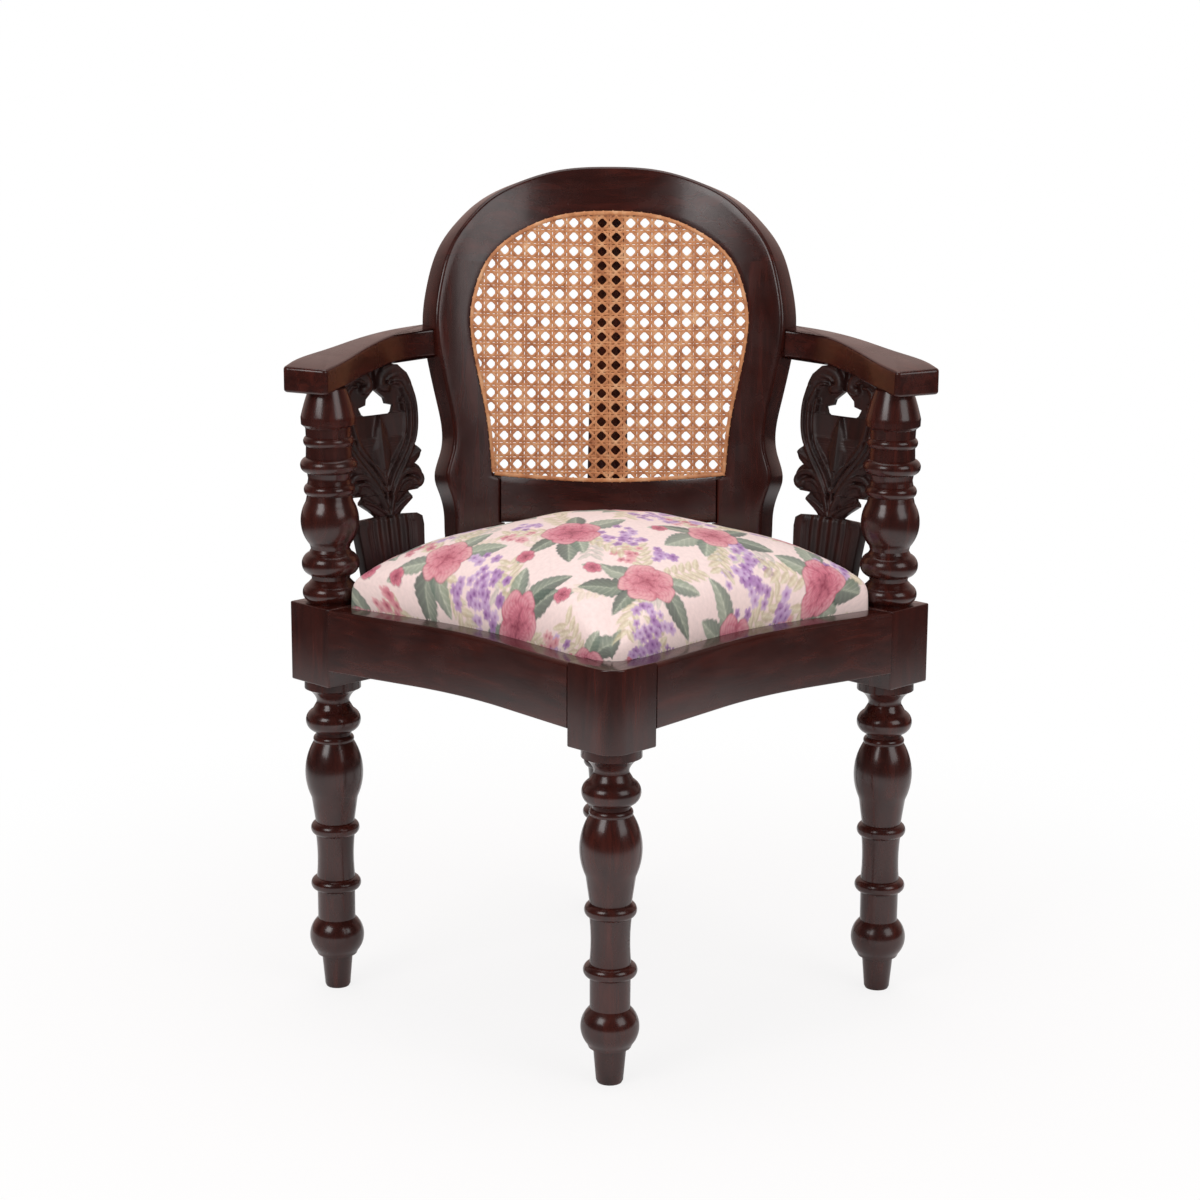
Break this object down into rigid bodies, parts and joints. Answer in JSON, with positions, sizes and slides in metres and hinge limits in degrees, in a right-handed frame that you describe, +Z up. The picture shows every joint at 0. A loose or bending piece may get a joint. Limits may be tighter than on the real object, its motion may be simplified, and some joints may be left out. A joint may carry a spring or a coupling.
{
  "type": "corner armchair",
  "caption": "Corner armchair in dark polished wood with turned legs, curved arms, an arched caned back, carved splats and a floral drop-in seat.",
  "frame": {"origin": "on the floor under the middle of the seat, half way between the four feet", "axes": "+Z up, the chair's front corner towards -Y, its rear post towards +Y, the sitter's left arm at +X"},
  "size_m": [0.6554, 0.5782, 0.8436],
  "materials": {
    "wood": "dark polished hardwood",
    "cane": "natural woven cane",
    "floral_fabric": "printed furnishing cotton",
    "padding": "stuffing and wadding",
    "webbing": "jute",
    "bottom_cloth": "plain black cloth",
    "screw_steel": "plain steel"
  },
  "bodies": {
    "chair": {"front_leg": "wood", "left_leg": "wood", "right_leg": "wood", "rear_leg": "wood", "front_left_rail": "wood", "front_right_rail": "wood", "rear_left_rail": "wood", "rear_right_rail": "wood", "front_corner_block": "wood", "rear_corner_block": "wood", "left_corner_block": "wood", "right_corner_block": "wood", "corner_block_screws": "screw_steel", "crest_rail": "wood", "left_back_stile": "wood", "right_back_stile": "wood", "back_bottom_rail": "wood", "back_dowels": "wood", "cane_panel": "cane", "cane_binding": "cane", "left_arm": "wood", "right_arm": "wood", "arm_dowels": "wood", "left_splat": "wood", "right_splat": "wood"},
    "seat": {"seat_bar_front_left": "wood", "seat_bar_front_right": "wood", "seat_bar_rear_left": "wood", "seat_bar_rear_right": "wood", "seat_webbing_lower": "webbing", "seat_webbing_upper": "webbing", "seat_hessian": "webbing", "seat_pad": "padding", "seat_cover": "floral_fabric", "seat_bottom_cloth": "bottom_cloth"}
  },
  "joints": [
    {"name": "seat_lift", "type": "slide", "parent": "chair", "child": "seat", "axis": [0, 0, 1], "range_m": [0, 0.02]}
  ]
}
